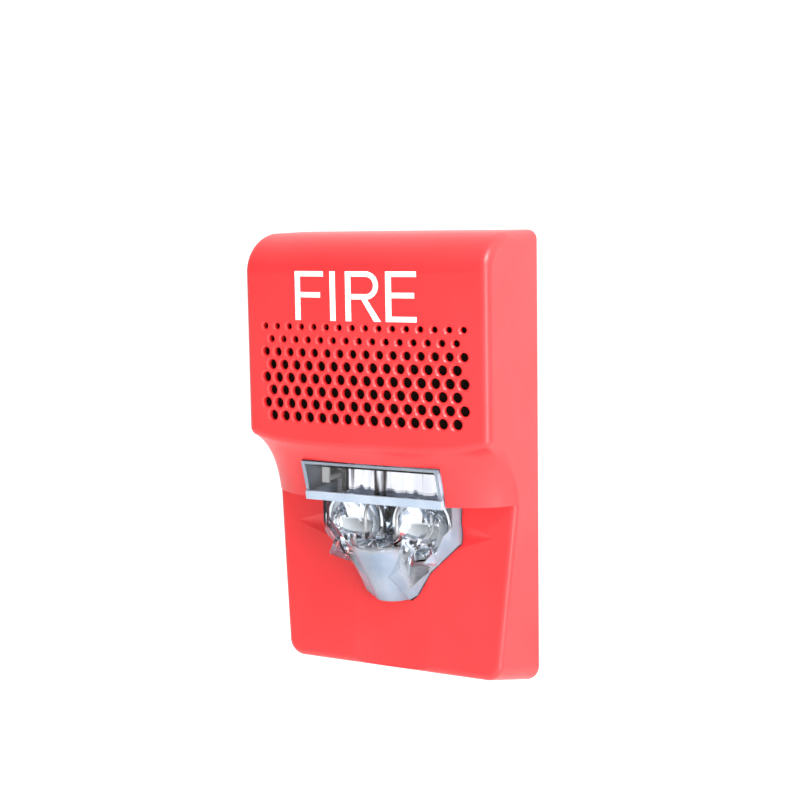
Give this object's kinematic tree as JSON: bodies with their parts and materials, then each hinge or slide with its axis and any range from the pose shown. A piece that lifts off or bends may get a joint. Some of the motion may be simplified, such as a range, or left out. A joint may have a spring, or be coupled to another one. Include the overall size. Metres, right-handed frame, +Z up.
{
  "type": "horn strobe",
  "caption": "Wall-mounted fire alarm horn strobe: red cover with sound grille and clear strobe lens, hung on a mounting plate.",
  "frame": {"origin": "centre of the mounting plate's rear face, on the wall plane, midway between the two box screw holes", "axes": "+X to the right seen from the front, +Y into the wall, +Z up"},
  "size_m": [0.0866, 0.0366, 0.1422],
  "materials": {
    "red_cover": "satin moulded plastic",
    "white_legend": "matt printed",
    "black_cloth": "fine black acoustic cloth",
    "plate_plastic": "matt off-white plastic",
    "block_plastic": "matt green plastic",
    "plated_screws": "zinc plated",
    "cage_metal": "nickelled brass",
    "contact_metal": "bright",
    "board_white": "white solder mask",
    "can_sleeve": "glossy black sleeve",
    "coil_copper": "enamelled copper",
    "black_parts": "matt black",
    "white_knobs": "matt",
    "yoke_steel": "zinc plated",
    "magnet_dark": "ground ferrite",
    "diaphragm_film": "thin amber film",
    "lead_cover": "insulated",
    "clear_lens": "clear polycarbonate",
    "bright_reflector": "vacuum metallised"
  },
  "bodies": {
    "plate": {"mounting_plate": "plate_plastic", "terminal_block": "block_plastic", "terminal_block_screws": "plated_screws", "contact_jaws": "contact_metal"},
    "signal_unit": {"front_cover": "red_cover", "fire_legend": "white_legend", "grille_cloth": "black_cloth", "circuit_board": "board_white", "board_screws": "plated_screws", "contact_pins": "contact_metal", "flash_capacitor": "can_sleeve", "trigger_transformer": "coil_copper", "power_inductor": "coil_copper", "power_transistor": "black_parts", "control_chip": "black_parts", "volume_switch": "black_parts", "tone_switch": "black_parts", "candela_switch": "black_parts", "sounder_frame": "black_parts", "sounder_yoke": "yoke_steel", "sounder_magnet": "magnet_dark", "sounder_cap": "black_parts", "sounder_leads": "lead_cover", "strobe_lens": "clear_lens", "reflector": "bright_reflector", "flash_tube": "clear_lens", "tube_electrodes": "yoke_steel", "trigger_band": "bright_reflector", "light_baffle": "black_parts"},
    "diaphragm": {"sounder_diaphragm": "diaphragm_film", "voice_coil": "coil_copper"},
    "candela_knob": {"candela_slider": "white_knobs"},
    "volume_knob": {"volume_slider": "white_knobs"},
    "tone_knob": {"tone_slider": "white_knobs"},
    "screw_1": {"terminal_screw_1": "plated_screws"},
    "clamp_1": {"terminal_clamp_1": "cage_metal"},
    "screw_2": {"terminal_screw_2": "plated_screws"},
    "clamp_2": {"terminal_clamp_2": "cage_metal"},
    "screw_3": {"terminal_screw_3": "plated_screws"},
    "clamp_3": {"terminal_clamp_3": "cage_metal"},
    "screw_4": {"terminal_screw_4": "plated_screws"},
    "clamp_4": {"terminal_clamp_4": "cage_metal"}
  },
  "joints": [
    {"name": "unit_swing", "type": "hinge", "parent": "plate", "child": "signal_unit", "pos_m": [0, -0.002, 0.0686], "axis": [-1, 0, 0], "range_deg": [0, 25]},
    {"name": "diaphragm_travel", "type": "slide", "parent": "signal_unit", "child": "diaphragm", "axis": [0, -1, 0], "range_m": [-0.0003, 0.0003], "stiffness_N_per_m": 800},
    {"name": "candela_select", "type": "slide", "parent": "signal_unit", "child": "candela_knob", "axis": [1, 0, 0], "range_m": [0, 0.006]},
    {"name": "volume_select", "type": "slide", "parent": "signal_unit", "child": "volume_knob", "axis": [1, 0, 0], "range_m": [0, 0.0022]},
    {"name": "tone_select", "type": "slide", "parent": "signal_unit", "child": "tone_knob", "axis": [1, 0, 0], "range_m": [0, 0.0022]},
    {"name": "terminal_screw_1_turn", "type": "hinge", "parent": "plate", "child": "screw_1", "pos_m": [-0.01524, -0.009, 0.019], "axis": [0, -1, 0], "range_deg": [0, 1080]},
    {"name": "terminal_clamp_1_slide", "type": "slide", "parent": "plate", "child": "clamp_1", "axis": [0, 1, 0], "range_m": [0, 0.0015]},
    {"name": "terminal_screw_2_turn", "type": "hinge", "parent": "plate", "child": "screw_2", "pos_m": [-0.00508, -0.009, 0.019], "axis": [0, -1, 0], "range_deg": [0, 1080]},
    {"name": "terminal_clamp_2_slide", "type": "slide", "parent": "plate", "child": "clamp_2", "axis": [0, 1, 0], "range_m": [0, 0.0015]},
    {"name": "terminal_screw_3_turn", "type": "hinge", "parent": "plate", "child": "screw_3", "pos_m": [0.00508, -0.009, 0.019], "axis": [0, -1, 0], "range_deg": [0, 1080]},
    {"name": "terminal_clamp_3_slide", "type": "slide", "parent": "plate", "child": "clamp_3", "axis": [0, 1, 0], "range_m": [0, 0.0015]},
    {"name": "terminal_screw_4_turn", "type": "hinge", "parent": "plate", "child": "screw_4", "pos_m": [0.01524, -0.009, 0.019], "axis": [0, -1, 0], "range_deg": [0, 1080]},
    {"name": "terminal_clamp_4_slide", "type": "slide", "parent": "plate", "child": "clamp_4", "axis": [0, 1, 0], "range_m": [0, 0.0015]}
  ],
  "couplings": [
    {"joint": "terminal_screw_1_turn", "follows": "terminal_clamp_1_slide", "rad_per_m": 12566},
    {"joint": "terminal_screw_2_turn", "follows": "terminal_clamp_2_slide", "rad_per_m": 12566},
    {"joint": "terminal_screw_3_turn", "follows": "terminal_clamp_3_slide", "rad_per_m": 12566},
    {"joint": "terminal_screw_4_turn", "follows": "terminal_clamp_4_slide", "rad_per_m": 12566}
  ]
}
